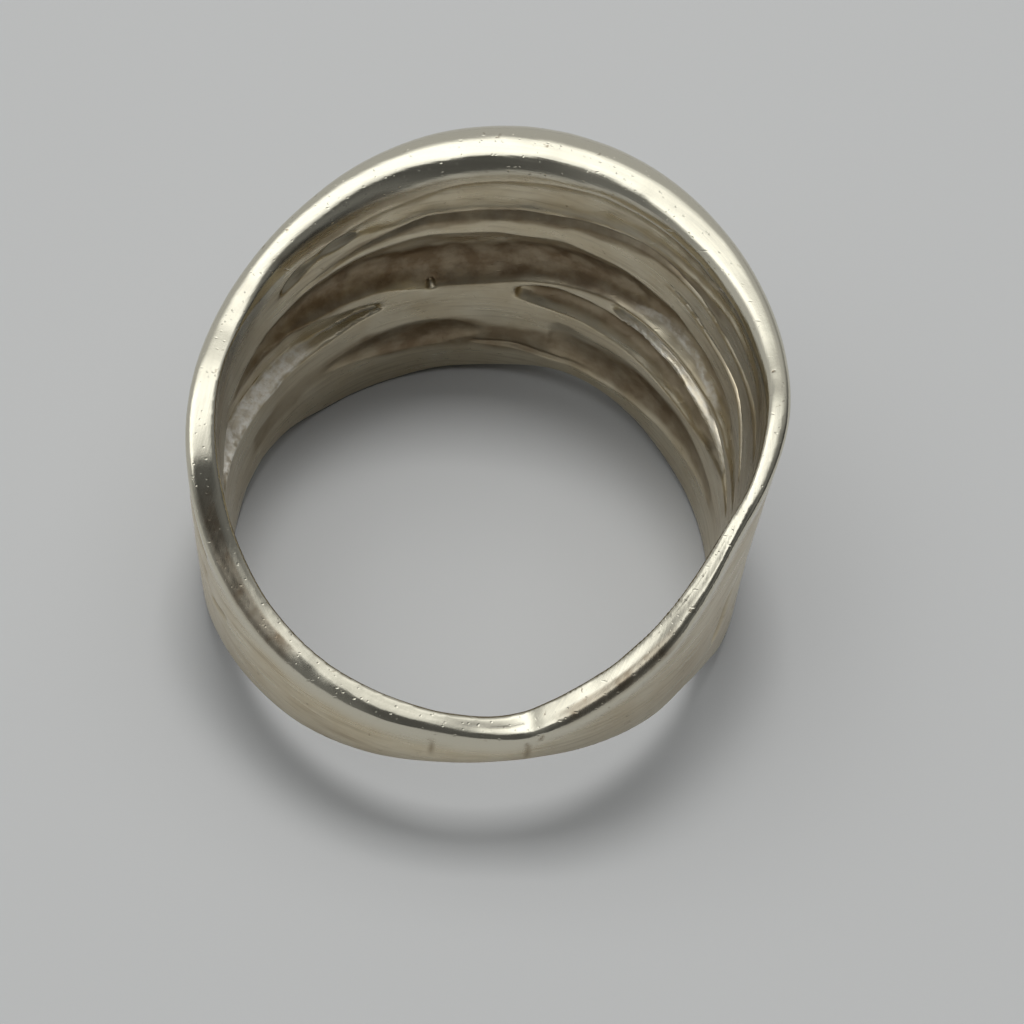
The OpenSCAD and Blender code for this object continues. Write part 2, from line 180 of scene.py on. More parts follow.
# Hollows, grooves and slits of the inside. Angle, lower border, upper border, share of the depth.
LO, HI, PART = range(1, 4)
HOLLOWS = {
    "upper_hollow": ("dish", 0.20, [
        [5, 11.6, 12.3, 0.2], [20, 11.9, 12.5, 0.5], [40, 11.6, 12.5, 0.9], [60, 11.4, 12.6, 1.0],
        [80, 10.9, 12.5, 1.0], [100, 10.6, 12.0, 1.0], [118, 10.2, 11.3, 0.8], [130, 10.5, 10.9, 0.2]]),
    "upper_groove": ("step", 0.24, [
        [-4, 10.95, 11.20, 0.3], [4, 10.90, 11.30, 0.9], [12, 10.85, 11.20, 0.9], [19, 10.80, 11.05, 0.7],
        [29, 10.72, 10.90, 0.5], [40, 10.88, 11.08, 0.6], [56, 10.92, 11.32, 0.9], [70, 10.55, 11.05, 1.0],
        [80, 10.22, 10.78, 1.0], [90, 10.05, 10.65, 1.0], [100, 9.90, 10.50, 1.0], [110, 9.80, 10.30, 1.0],
        [120, 9.45, 9.80, 0.8], [132, 9.10, 9.30, 0.4], [145, 8.85, 9.00, 0.2]]),
    "side_pits": ("dish", 0.40, [
        [125, 10.50, 10.65, 0.3], [131, 10.15, 10.80, 1.0], [137, 10.20, 10.55, 0.3], [143, 9.75, 10.45, 0.9],
        [149, 9.65, 9.85, 0.3]]),
    "middle_hollow": ("bowl", 0.50, [
        [-2, 6.90, 7.10, 0.1], [10, 6.60, 7.90, 0.4], [20, 6.75, 8.60, 0.7], [30, 6.85, 8.90, 0.9],
        [45, 7.10, 9.15, 1.0], [62, 7.15, 9.40, 1.0], [75, 6.85, 9.45, 1.0], [86, 6.40, 9.35, 1.0],
        [97, 5.95, 9.25, 1.0], [110, 5.95, 9.20, 1.0], [124, 6.45, 9.00, 1.0], [140, 6.60, 8.75, 1.0],
        [155, 6.80, 8.40, 0.7], [170, 7.30, 7.90, 0.3], [178, 7.50, 7.60, 0.1]]),
    "right_recess": ("dish", 0.40, [
        [14, 5.10, 5.30, 0.2], [28, 4.40, 5.60, 0.6], [40, 4.25, 5.95, 0.9], [50, 4.50, 6.15, 1.0],
        [60, 4.80, 6.40, 1.0], [70, 5.00, 6.50, 1.0], [80, 5.05, 6.45, 1.0], [88, 5.45, 5.95, 0.7]]),
    "right_shelf": ("ledge", 0.48, [
        [4, 5.00, 5.30, 0.2], [10, 4.95, 5.80, 0.4], [19, 5.25, 6.40, 0.5], [28, 5.60, 6.75, 0.6],
        [37, 5.90, 6.85, 0.8], [48, 5.95, 7.00, 1.0], [57, 6.25, 7.05, 0.9], [64, 6.80, 7.20, 0.3]]),
    "left_recess": ("shelf", 0.62, [
        [119, 5.20, 5.60, 0.4], [125, 4.95, 5.90, 0.7], [131, 4.75, 6.10, 0.8], [140, 4.55, 6.60, 1.0],
        [148, 4.48, 7.40, 1.0], [158, 4.52, 7.90, 1.0], [168, 4.70, 7.90, 1.0], [178, 5.00, 7.40, 0.7],
        [187, 5.50, 6.50, 0.2]]),
    "right_groove": ("notch", 0.24, [
        [1, 8.00, 8.30, 0.4], [6, 8.50, 8.90, 1.0], [12, 9.10, 9.50, 1.0], [18, 9.60, 9.95, 1.0],
        [24, 9.70, 9.95, 0.8], [34, 9.74, 9.92, 0.5], [42, 9.95, 10.08, 0.4], [52, 10.15, 10.25, 0.2]]),
    "corner_pit": ("dish", 0.45, [
        [105.5, 5.95, 6.10, 0.3], [107.5, 5.80, 6.40, 1.0], [109.5, 5.95, 6.15, 0.3]]),
    "lower_left_hollow": ("bowl", 0.14, [
        [94, 2.8, 3.2, 0.2], [104, 2.2, 3.7, 1.0], [114, 2.1, 3.8, 1.0], [124, 2.3, 3.5, 0.7],
        [136, 2.7, 3.1, 0.2]]),
    "lower_right_hollow": ("bowl", 0.20, [
        [16, 2.6, 3.2, 0.2], [34, 2.0, 3.8, 0.8], [50, 1.9, 4.0, 1.0], [66, 1.9, 4.2, 1.0],
        [76, 2.3, 4.4, 0.9], [79, 2.8, 3.9, 0.2]]),
    "lower_groove": ("notch", 0.10, [
        [34, 1.90, 2.10, 0.2], [50, 1.86, 2.16, 0.4], [72, 1.86, 2.20, 0.8], [88, 1.95, 2.35, 1.0],
        [98, 2.10, 2.35, 0.3]]),
}
# Brown deposit on the inside, partly tarnish and partly painted shade in the hollows.
# Angle, height of its middle, half its height, share of its darkness.
MID, REACH, SHADE = range(1, 4)
# A patch fades out over PATCH_END degrees at its ends. Across, it fades out over PATCH_BORDER of its half
# height, and is gone at PATCH_OUTSIDE of it.
PATCH_END = 5.0
PATCH_BORDER = 0.5
PATCH_OUTSIDE = 1.25
DEPOSITS_AND_SHADE = [
    [[150, 10.9, 0.25, 0.5], [132, 11.3, 0.30, 0.6], [110, 11.9, 0.25, 0.3], [92, 12.2, 0.20, 0.0]],
    [[140, 9.05, 0.20, 0.4], [120, 9.70, 0.30, 0.6], [95, 10.25, 0.40, 0.7], [75, 10.65, 0.40, 0.7],
     [57, 11.05, 0.30, 0.7], [30, 11.55, 0.15, 0.5]],
    [[172, 7.40, 0.30, 0.5], [150, 7.20, 0.70, 0.9], [124, 7.35, 0.90, 1.0], [100, 7.05, 1.10, 1.0],
     [85, 7.50, 1.00, 1.0], [65, 8.05, 0.90, 0.9], [40, 8.10, 0.60, 0.6], [15, 7.60, 0.50, 0.5]],
    [[88, 5.70, 0.20, 0.7], [75, 5.75, 0.50, 0.9], [60, 5.60, 0.60, 0.8], [35, 5.00, 0.50, 0.6],
     [15, 5.00, 0.30, 0.3]],
    [[165, 2.50, 0.50, 0.8], [150, 2.70, 0.60, 0.4], [135, 3.00, 0.50, 0.4], [124, 3.00, 0.80, 0.8],
     [112, 2.80, 0.90, 1.0], [99, 2.80, 0.90, 0.9], [88, 2.50, 0.80, 0.8], [72, 2.80, 0.90, 0.8],
     [50, 2.90, 0.90, 0.9], [30, 2.90, 0.60, 0.6], [10, 2.80, 0.40, 0.3]],
]
# Pale rough metal that polishing never reached, on the shelves of the slits and in spots above the right one
FROSTED = [
    [[137, 4.70, 0.15, 0.7], [147, 4.62, 0.20, 1.0], [155, 4.60, 0.20, 1.0], [165, 4.75, 0.22, 1.0],
     [176, 5.05, 0.25, 1.0], [186, 5.50, 0.25, 0.8]],
    [[6, 5.15, 0.12, 0.2], [19, 5.45, 0.20, 0.3], [28, 5.80, 0.22, 0.4], [37, 6.10, 0.25, 0.6],
     [48, 6.20, 0.28, 0.7], [57, 6.45, 0.25, 0.7], [63, 6.90, 0.20, 0.6]],
    [[24, 7.00, 0.12, 0.5], [35, 7.20, 0.16, 0.7], [46, 7.60, 0.16, 0.7], [60, 7.30, 0.10, 0.4]],
]
SLITS = {
    "left_slit": [
        [143, 4.95, 5.10], [148, 4.82, 5.14], [156, 4.80, 5.18], [165, 4.95, 5.30], [172, 5.12, 5.32]],
    "upper_slit": [
        [30, 6.02, 6.14], [36, 6.16, 6.42], [48, 6.26, 6.56], [56, 6.52, 6.78], [62, 6.86, 6.96]],
    "lower_slit": [
        [7, 5.20, 5.32], [13, 5.28, 5.48], [19, 5.56, 5.80], [25, 5.78, 5.98], [28, 5.92, 6.04]],
}

# Grooves and nicks in the outside near the shank, darkened with painted shade in the grooves
MARK_DEPTH, MARK_SHADE = 5, 6
OUTER_MARKS = [
    # from angle, from height, to angle, to height, half width, depth, share of darkness
    [199.5, 8.9, 208.5, 7.8, 0.09, 0.12, 1.0],
    [198.5, 5.9, 207.0, 6.3, 0.20, 0.16, 1.0],
    [211.5, 5.3, 216.5, 5.7, 0.14, 0.10, 0.7],
    [338.4, 7.0, 335.8, 5.0, 0.24, 0.24, 1.0],
    [267.1, 6.1, 268.0, 5.2, 0.07, 0.03, 0.6],
    [286.0, 6.1, 286.5, 5.0, 0.07, 0.03, 0.6],
    [288.9, 6.55, 288.6, 6.25, 0.06, 0.06, 0.8],
]
# Dark patches on the rim's top: tarnish spots with painted shade left of the shank, and a band of painted
# shade right of it
RIM_STAINS_AND_SHADE = [
    # from angle, to angle, inner radius, outer radius, share of darkness
    [198, 238, 9.40, 10.05, 0.90],
    [290, 320, 9.50, 10.10, 0.80],
]
# The rim's inner edge is dark between these angles and within this radius: painted shade along the edge,
# partly tarnish
DARK_EDGE = (192, 340)
DARK_EDGE_R = 9.10
DARK_EDGE_SHARE = 0.9
DARK_EDGE_FADE = 0.05
# The metal is polished down to this far below the rim's top, and then fades over this height
POLISH_FROM = 0.4
POLISH_FADE = 1.0
# The rim's dark patches fade out over these degrees at their ends and these widths at their borders. They
# reach this far down from the rim's top before they fade, and their spots vary them by this share.
RIM_DARK_ENDS = 6
RIM_DARK_INNER = 0.10
RIM_DARK_OUTER = 0.15
RIM_DARK_DOWN = 0.25
RIM_DARK_FADE = 0.2
RIM_DARK_SPOTS = 0.3
# More bias makes more of a rim patch dark, and a wider edge makes its spots softer
SPOT_BIAS = 0.15
SPOT_EDGE = 0.5

# Unevenness. Each wave is its height in millimetres or its share in a sum, its cells' size and its seed.
INSIDE_WAVES = [(0.020, 2.2, 11), (0.010, 0.9, 12)]
HOLLOW_WAVES = [(0.030, 0.75, 13), (0.022, 0.38, 14)]
OUTSIDE_WAVES = [(0.012, 2.6, 21)]
BORDER_WAVES = [(0.07, 1.3, 31)]
RIM_WAVES = [(0.012, 0.7, 41), (0.015, 1.6, 42)]
PATCH_WAVES = [(0.10, 1.1, 51), (0.06, 0.5, 52)]
RIM_DARK_WAVES = [(1.0, 0.24, 61), (0.5, 0.6, 62)]
# The waves cover this height
WAVES_TOP = 20


# Tables and curves

def curve(rows, col, angle):
    """Smooth curve through one column of a table, the same as the CAD model's."""
    x, y = rows[:, 0], rows[:, col]
    before = np.maximum(np.arange(len(x)) - 1, 0)
    after = np.minimum(np.arange(len(x)) + 1, len(x) - 1)
    slope = (y[after] - y[before]) / (x[after] - x[before])
    angle = np.clip(angle, x[0], x[-1])
    i = np.clip(np.searchsorted(x, angle, side="right") - 1, 0, len(x) - 2)
    w = x[i + 1] - x[i]
    t = (angle - x[i]) / w
    s = 1 - t
    return (y[i] * (1 + 2 * t) * s * s + y[i + 1] * (3 - 2 * t) * t * t
            + w * t * s * (slope[i] * s - slope[i + 1] * t))


def round_table(rows):
    """A table that goes round the ring, repeated a turn before and after."""
    rows = np.array(rows, float)
    turn = np.zeros(rows.shape[1])
    turn[0] = 360
    return np.concatenate([rows - turn, rows, rows + turn])


def near(rows, angle):
    """The angle plus or minus whole turns, so that it falls around the table's middle."""
    middle = (rows[0, 0] + rows[-1, 0]) / 2
    return (angle - middle + 180) % 360 - 180 + middle


def clamp(x):
    return np.clip(x, 0, 1)


def ease(x):
    x = clamp(x)
    return x * x * (3 - 2 * x)


def rounded_max(a, b, radius):
    """Maximum of two distances, with the edge between them rounded."""
    corner = np.hypot(np.maximum(a + radius, 0), np.maximum(b + radius, 0)) - radius
    return np.minimum(np.maximum(a, b), -radius) + np.maximum(corner + radius, 0)


def ripple(angle, z, size, seed):
    """Smooth unevenness between -1 and 1, with cells of about the given size in millimetres."""
    around = max(4, round(2 * math.pi * WALL_R / size))
    up = int(WAVES_TOP / size) + 3
    values = np.random.default_rng(seed).uniform(-1, 1, (around, up))
    u = (angle % 360) / 360 * around
    v = np.clip(z / size + 1, 0, up - 1.001)
    iu, iv = np.floor(u).astype(int), np.floor(v).astype(int)
    fu, fv = ease(u - iu), ease(v - iv)
    iu0, iu1 = iu % around, (iu + 1) % around
    low = values[iu0, iv] * (1 - fu) + values[iu1, iv] * fu
    high = values[iu0, iv + 1] * (1 - fu) + values[iu1, iv + 1] * fu
    return low * (1 - fv) + high * fv


def waves(table, angle, z):
    """Sum of several ripples."""
    return sum(share * ripple(angle, z, size, seed) for share, size, seed in table)


def span(turn, start, end, begins, ends):
    """1 between two angles and 0 outside them, with soft ends."""
    return ease((turn - start) / begins) * ease((end - turn) / ends)


BAND_ROUND = round_table(BAND)
RIM_TABLE = round_table(RIM)
VALLEYS_ROUND = round_table(VALLEYS)
# Depth across a hollow, from its lower border at 0 to its upper border at 1
CUT_SHAPES = {
    "dish": lambda t: np.power(clamp(4 * t * (1 - t)), 0.8),
    "notch": lambda t: clamp(1.4 * (1 - np.abs(2 * t - 1))),
    "step": lambda t: np.minimum(clamp(t / 0.72), clamp((1 - t) / 0.20)),
    "bowl": lambda t: np.sin(math.pi * np.power(clamp(t), 0.8)),
    "ledge": lambda t: ease(t / 0.24) * np.power(clamp((1 - t) / 0.76), 1.2),
    "shelf": lambda t: clamp(t / 0.08) * np.power(clamp((1 - t) / 0.92), 0.9),
}
# A hollow's ends run out over this length, and it is at least this high
END_TAPER = 0.35
LEAST_HEIGHT = 0.05
# Where a hollow is this deep, the metal in it is as uneven as it gets
ROUGH_FROM_DEPTH = 0.25


def from_ends(rows, angle):
    """Degrees to the nearer end of a table."""
    return np.minimum(angle - rows[0, 0], rows[-1, 0] - angle)


def hollow_depth(shape, depth, rows, angle, z):
    """How deep one hollow or groove is cut at each angle and height."""
    rows = np.array(rows, float)
    angle = near(rows, angle)
    wave = waves(BORDER_WAVES, angle, z)
    lo = curve(rows, LO, angle) + wave
    hi = np.maximum(curve(rows, HI, angle) + wave, lo + LEAST_HEIGHT)
    ends = ease(from_ends(rows, angle) * DEGREE / END_TAPER)
    return depth * curve(rows, PART, angle) * CUT_SHAPES[shape]((z - lo) / (hi - lo)) * ends


def inside_depth(angle, z):
    """Depth of all hollows and grooves together."""
    total = 0
    for shape, depth, rows in HOLLOWS.values():
        total = np.maximum(total, hollow_depth(shape, depth, rows, angle, z))
    return total


def patches(tables, angle, z):
    """Share between 0 and 1 of something that lies in long patches, with ragged borders."""
    total = 0
    for rows in tables:
        rows = np.array(sorted(rows), float)
        at = near(rows, angle)
        reach = np.maximum(curve(rows, REACH, at), LEAST_HEIGHT)
        off = np.abs(z + waves(PATCH_WAVES, at, z) - curve(rows, MID, at)) / reach
        across = ease((PATCH_OUTSIDE - off) / PATCH_BORDER)
        total = np.maximum(total, across * curve(rows, SHADE, at) * ease(from_ends(rows, at) / PATCH_END))
    return clamp(total)


def slit_gap(rows, angle, z):
    """Distance inside one slit to its edge: positive where the wall is open."""
    rows = np.array(rows, float)
    angle = near(rows, angle)
    lo, hi = curve(rows, LO, angle), curve(rows, HI, angle)
    across = (hi - lo) / 2 - np.abs(z - (lo + hi) / 2)
    return np.minimum(across, from_ends(rows, angle) * DEGREE)


def inner_r(angle, z):
    """Radius of the wall's inside."""
    top = curve(BAND_ROUND, TOP, angle)
    rise = ease(1 - (top - z) / FLARE_HEIGHT)
    depth = inside_depth(angle, z)
    uneven = waves(INSIDE_WAVES, angle, z) + ease(depth / ROUGH_FROM_DEPTH) * waves(HOLLOW_WAVES, angle, z)
    return BORE_R + RELIEF + curve(BAND_ROUND, FLARE, angle) * rise + depth + uneven


def mark_share(mark, angle, z):
    """How near a point is to one groove's line, from 0 to 1."""
    from_angle, from_z, to_angle, to_z, half = mark[:5]
    along_x, along_z = (to_angle - from_angle) * DEGREE, to_z - from_z
    x = ((angle - from_angle + 180) % 360 - 180) * DEGREE
    length = along_x ** 2 + along_z ** 2
    t = clamp((x * along_x + (z - from_z) * along_z) / length)
    away = np.hypot(x - t * along_x, z - from_z - t * along_z)
    return np.exp(-(away / half) ** 2)


def outer_marks(col, angle, z):
    """One column of the outside's marks, as all of them together make it at a point."""
    return sum(mark[col] * mark_share(mark, angle, z) for mark in OUTER_MARKS)


def rim_stains_and_shade(angle, z, r):
    """Share of darkening on the rim's top and along its inner edge: tarnish spots and painted shade."""
    turn = angle % 360
    on_rim = 1 - ease((curve(BAND_ROUND, TOP, angle) - z - RIM_DARK_DOWN) / RIM_DARK_FADE)
    spots = ease((waves(RIM_DARK_WAVES, angle, r) + SPOT_BIAS) / SPOT_EDGE)
    total = 0
    for start, end, low, high, share in RIM_STAINS_AND_SHADE:
        around = span(turn, start, end, RIM_DARK_ENDS, RIM_DARK_ENDS)
        across = ease((r - low) / RIM_DARK_INNER) * ease((high - r) / RIM_DARK_OUTER)
        total = np.maximum(total, share * around * across * (1 - RIM_DARK_SPOTS + RIM_DARK_SPOTS * spots))
    edge = span(turn, *DARK_EDGE, RIM_DARK_ENDS, RIM_DARK_ENDS) * ease((DARK_EDGE_R - r) / DARK_EDGE_FADE)
    return on_rim * np.maximum(total, DARK_EDGE_SHARE * edge)


def outer_r(angle, z):
    """Radius of the wall's outside: a bulge through three thicknesses, less the valleys and the marks."""
    low = np.maximum(0, curve(BAND_ROUND, LOW, angle))
    top = curve(BAND_ROUND, TOP, angle)
    u = clamp((z - low) / (top - low))
    wall = (curve(BAND_ROUND, T_LOW, angle) * (1 - u) * (1 - 2 * u)
            + curve(BAND_ROUND, T_MID, angle) * 4 * u * (1 - u)
            + curve(BAND_ROUND, T_TOP, angle) * u * (2 * u - 1))
    half = curve(VALLEYS_ROUND, HALF, angle)
    share = np.maximum(0, curve(VALLEYS_ROUND, SHARE, angle))
    cut = 0
    for col in (UPPER, MIDDLE, LOWER):
        off = np.abs(z - curve(VALLEYS_ROUND, col, angle)) / half
        cut = np.maximum(cut, np.exp(-np.power(off / VALLEY_WIDTH, VALLEY_EDGE)))
    marks = outer_marks(MARK_DEPTH, angle, z)
    return BORE_R + wall - VALLEY_DEPTH * share * cut - marks + waves(OUTSIDE_WAVES, angle, z)


def edge_round(in_reach, up_reach, width, height):
    """Distance to a rounded edge's ellipse, from how far a point lies into the edge's width and height."""
    p, q = np.maximum(in_reach / width, 0), np.maximum(up_reach / height, 0)
    size = np.maximum(np.hypot(p, q), SMALL)
    steep = np.maximum(np.hypot(p / width, q / height), SMALL)
    return (size - 1) * size / steep


def rim_lean(angle):
    """Slope of the rim's top across the wall."""
    turn = angle % 360
    level = span(turn, LEVEL_FROM, LEVEL_TO, LEVEL_BEGINS, LEVEL_ENDS)
    inward = span(turn, INWARD_FROM, INWARD_TO, INWARD_BEGINS, INWARD_ENDS)
    return RIM_TILT * np.sin(np.radians(angle)) * (1 - level) + INWARD_TILT * inward


def metal(angle, z, r):
    """Below zero in the metal, above zero outside it, about the distance to its surface in millimetres."""
    low = np.maximum(0, curve(BAND_ROUND, LOW, angle))
    out_w, out_h = curve(RIM_TABLE, OUT_W, angle), curve(RIM_TABLE, OUT_H, angle)
    in_w, in_h = curve(RIM_TABLE, IN_W, angle), curve(RIM_TABLE, IN_H, angle)
    r_in, r_out = inner_r(angle, z), outer_r(angle, z)
    crest = r_out - out_w
    top = curve(BAND_ROUND, TOP, angle) + rim_marks(angle, r)
    top = top - rim_lean(angle) * np.clip(crest - r, 0, LEAN_REACH)
    body = np.maximum(np.maximum(r_in - r, r - r_out), z - top)
    outer_edge = (r > crest) & (z > top - out_h)
    body = np.where(outer_edge, edge_round(r - crest, z - top + out_h, out_w, out_h), body)
    inner_edge = (r < r_in + in_w) & (z > top - in_h)
    body = np.where(inner_edge, edge_round(r_in + in_w - r, z - top + in_h, in_w, in_h), body)
    body = rounded_max(body, low - z, LOW_ROUND)
    for rows in SLITS.values():
        body = rounded_max(body, slit_gap(rows, angle, z), SLIT_ROUND)
    return body


def rim_marks(angle, r):
    """Wear on the rim's top: a shallow groove along the shank's right part, and dents."""
    rows = np.array(RIM_GROOVE, float)
    turn = angle % 360
    groove = span(turn, rows[0, 0], rows[-1, 0], RIM_GROOVE_BEGINS, RIM_GROOVE_ENDS)
    across = (r - curve(rows, 1, turn)) / RIM_GROOVE_HALF
    return waves(RIM_WAVES, angle, r) - RIM_GROOVE_DEPTH * groove * np.exp(-across * across)


# From the field to a mesh

# The grid's sections round the ring, its step in height and in radius, and the ranges that it covers
GRID_ANGLES = 364
GRID_STEP = 0.097
R_RANGE = (8.86, 11.36)
Z_RANGE = (-0.12, 14.40)


def axis_points(low, high, step):
    """Places of the grid's planes along one axis."""
    return np.arange(low, high + step, step)


def crossing_mean(corners, steps):
    """Mean of the places where the surface crosses each cell's edges, from the field at its corners."""
    total = np.zeros((len(corners), 3))
    count = np.zeros(len(corners))
    for p, q in itertools.combinations(range(len(steps)), 2):
        if np.abs(steps[p] - steps[q]).sum() != 1:
            continue
        crossed = (corners[:, p] < 0) != (corners[:, q] < 0)
        f0, f1 = corners[crossed, p], corners[crossed, q]
        t = (f0 / (f0 - f1))[:, None]
        total[crossed] += steps[p] * (1 - t) + steps[q] * t
        count[crossed] += 1
    return total / count[:, None]


def surface_net():
    """One vertex in every grid cell that the surface crosses, one quad across every grid edge it crosses."""
    a = np.arange(GRID_ANGLES) * 360.0 / GRID_ANGLES
    z = axis_points(*Z_RANGE, GRID_STEP)
    r = axis_points(*R_RANGE, GRID_STEP)
    values = metal(a[:, None, None], z[None, :, None], r[None, None, :])
    wrapped = np.concatenate([values, values[:1]])
    steps = list(itertools.product((0, 1), repeat=3))
    nz, nr = len(z) - 1, len(r) - 1
    corners = np.stack([wrapped[i:i + GRID_ANGLES, j:j + nz, k:k + nr] for i, j, k in steps], axis=-1)
    below = (corners < 0).sum(axis=-1)
    cells = np.argwhere((below > 0) & (below < len(steps)))
    place = cells + crossing_mean(corners[tuple(cells.T)], np.array(steps, float))
    points = np.stack([place[:, 0] * 360.0 / GRID_ANGLES, z[0] + place[:, 1] * GRID_STEP,
                       r[0] + place[:, 2] * GRID_STEP], axis=1)
    number = np.full((GRID_ANGLES, nz, nr), -1)
    number[tuple(cells.T)] = np.arange(len(cells))
    return points, net_faces(values, wrapped, number)


def net_faces(values, wrapped, number):
    """The quads, each around one grid edge whose two ends lie on different sides of the surface."""
    solid = values < 0
    faces = []
    neighbours = ((solid, wrapped[1:] < 0),
                  (solid[:, :-1, :], solid[:, 1:, :]),
                  (solid[:, :, :-1], solid[:, :, 1:]))
    for axis, (here, beyond) in enumerate(neighbours):
        edges = np.argwhere(here != beyond)
        leaving = here[tuple(edges.T)]
        u, v = (axis + 1) % 3, (axis + 2) % 3
        ring = []
        for du, dv in ((-1, -1), (0, -1), (0, 0), (-1, 0)):
            cell = edges.copy()
            cell[:, u] += du
            cell[:, v] += dv
            cell[:, 0] %= GRID_ANGLES
            ring.append(number[tuple(cell.T)])
        quads = np.stack(ring, axis=1)
        quads[~leaving] = quads[~leaving][:, ::-1]
        faces.append(quads)
    return np.concatenate(faces)


def settle(points, rounds=4, reach=0.04, eps=0.01, least_slope=0.25):
    """Move each vertex along the field's slope until it lies on the surface, at most so far in each round."""
    for _ in range(rounds):
        a, z, r = points.T
        f = metal(a, z, r)
        per_degree = math.radians(1) * r
        da = eps / per_degree
        slope = np.stack([(metal(a + da, z, r) - metal(a - da, z, r)) / (2 * eps),
                          (metal(a, z + eps, r) - metal(a, z - eps, r)) / (2 * eps),
                          (metal(a, z, r + eps) - metal(a, z, r - eps)) / (2 * eps)], axis=1)
        steep = np.maximum((slope ** 2).sum(axis=1), least_slope)
        move = -(f / steep)[:, None] * slope
        length = np.linalg.norm(move, axis=1, keepdims=True)
        move *= np.minimum(1, reach / np.maximum(length, TINY))
        points = points + move / np.stack([per_degree, np.ones_like(r), np.ones_like(r)], axis=1)
    return points


def in_space(points):
    """Points in metres, from their angle in degrees, and their height and radius in millimetres."""
    a = np.radians(points[:, 0])
    return np.stack([points[:, 2] * np.cos(a), points[:, 2] * np.sin(a) + AXIS_Y, points[:, 1]], axis=1) * MM


def surface_shares(points):
    """Shares between 0 and 1 at each vertex: tarnish with painted shade, pale rough metal, and polish near
    the rim's top.
    """
    angle, z, r = points.T
    inside = (r < curve(BAND_ROUND, T_MID, angle) / 2 + BORE_R).astype(float)
    # The brown deposits inside: tarnish, partly painted shade darkening the hollows
    deposits_and_shade = patches(DEPOSITS_AND_SHADE, angle, z) * inside
    # The outside's grooves darkened with painted shade
    marks = clamp(outer_marks(MARK_SHADE, angle, z)) * (1 - inside)
    tarnish_and_shade = np.maximum(np.maximum(deposits_and_shade, marks), rim_stains_and_shade(angle, z, r))
    frost = patches(FROSTED, angle, z) * inside
    below_rim = curve(BAND_ROUND, TOP, angle) - z
    polish = 1 - ease((below_rim - POLISH_FROM) / POLISH_FADE)
    return {"tarnish_and_shade": tarnish_and_shade, "frost": frost, "polish": polish}


def make_ring():
    """The one visual piece, which replaces the CAD ring."""
    points, quads = surface_net()
    points = settle(points)
    mesh = bpy.data.meshes.new("ring_surface")
    mesh.from_pydata(in_space(points).tolist(), [], quads.tolist())
    mesh.update()
    mesh.shade_smooth()
    for name, values in surface_shares(points).items():
        mesh.attributes.new(name, "FLOAT", "POINT").data.foreach_set("value", values.astype(np.float32))
    ring = bpy.data.objects.new("ring_surface", mesh)
    bpy.context.scene.collection.objects.link(ring)
    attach(ring, "root")
    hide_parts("ring")
    mesh.materials.append(silver())


# Materials

def node(tree, kind, settings=None, **inputs):
    """A new node. An input is given by its name, with underscores for spaces, or by its number after an i.

    Its value is a number, a colour or another node's output.
    """
    made = tree.nodes.new(kind)
    for name, value in (settings or {}).items():
        setattr(made, name, value)
    for name, value in inputs.items():
        counted = name[0] == "i" and name[1:].isdigit()
        give(tree, made.inputs[int(name[1:]) if counted else name.replace("_", " ")], value)
    return made


def give(tree, socket, value):
    """Set a socket to a number or a colour, or link it to another node's output."""
    if isinstance(value, bpy.types.NodeSocket):
        tree.links.new(value, socket)
    else:
        socket.default_value = value


def maths(tree, operation, first, second=0.5, third=0.0):
    return node(tree, "ShaderNodeMath", {"operation": operation}, i0=first, i1=second, i2=third).outputs[0]


def times(tree, first, second):
    return maths(tree, "MULTIPLY", first, second)


def plus(tree, first, second):
    return maths(tree, "ADD", first, second)


def vectors(tree, operation, **inputs):
    return node(tree, "ShaderNodeVectorMath", {"operation": operation}, **inputs).outputs


def spread(tree, value, low, high, to_low=0.0, to_high=1.0):
    """Map a value from one range to another, clamped."""
    return node(tree, "ShaderNodeMapRange", None, Value=value, From_Min=low, From_Max=high,
                To_Min=to_low, To_Max=to_high).outputs[0]


def noise(tree, vector, scale, detail=3.0, rough=0.55):
    return node(tree, "ShaderNodeTexNoise", None, Vector=vector, Scale=scale, Detail=detail,
                Roughness=rough).outputs["Fac"]


def cell_distance(tree, vector, scale):
    """Distance to the nearest of a scatter of points."""
    return node(tree, "ShaderNodeTexVoronoi", None, Vector=vector, Scale=scale,
                Randomness=1.0).outputs["Distance"]


def blend(tree, share, first, second):
    """A colour between two others."""
    mix = node(tree, "ShaderNodeMix", {"data_type": "RGBA"})
    for socket, value in zip([k for k in mix.inputs if k.enabled], (share, first, second)):
        give(tree, socket, value)
    return [k for k in mix.outputs if k.enabled][0]


def attribute(tree, name):
    """One of the mesh's shares, as make_ring stores them."""
    return node(tree, "ShaderNodeAttribute", {"attribute_name": name}).outputs["Fac"]


BRIGHT_SILVER = (0.67, 0.605, 0.46, 1)
WARM_SILVER = (0.60, 0.515, 0.36, 1)
POLISHED_SILVER = (0.69, 0.655, 0.54, 1)
FROSTED_SILVER = (0.80, 0.78, 0.72, 1)
# Colour of tarnish, also used as painted shade in the hollows, the grooves and along the rim
TARNISH_AND_SHADE = (0.22, 0.160, 0.10, 1)
# Reflection at grazing angles, of clean and of tarnished metal; the dark one also paints shade into grooves
# and hollows
CLEAN_EDGE = (1, 1, 1, 1)
DULL_AND_SHADED_EDGE = (0.32, 0.26, 0.20, 1)
FROSTED_METALLIC = 0.3
# Roughness of cast and of polished metal
CAST_ROUGH = 0.30
POLISHED_ROUGH = 0.17
# Scratches: sizes of a scratch's cells along and across it, and the ways that the two sets lie
SCRATCH_CELLS = (0.5, 4.0, 4.0)
SCRATCH_WAYS = [(0.3, 0.5, 0.4), (1.2, 0.2, 2.1)]
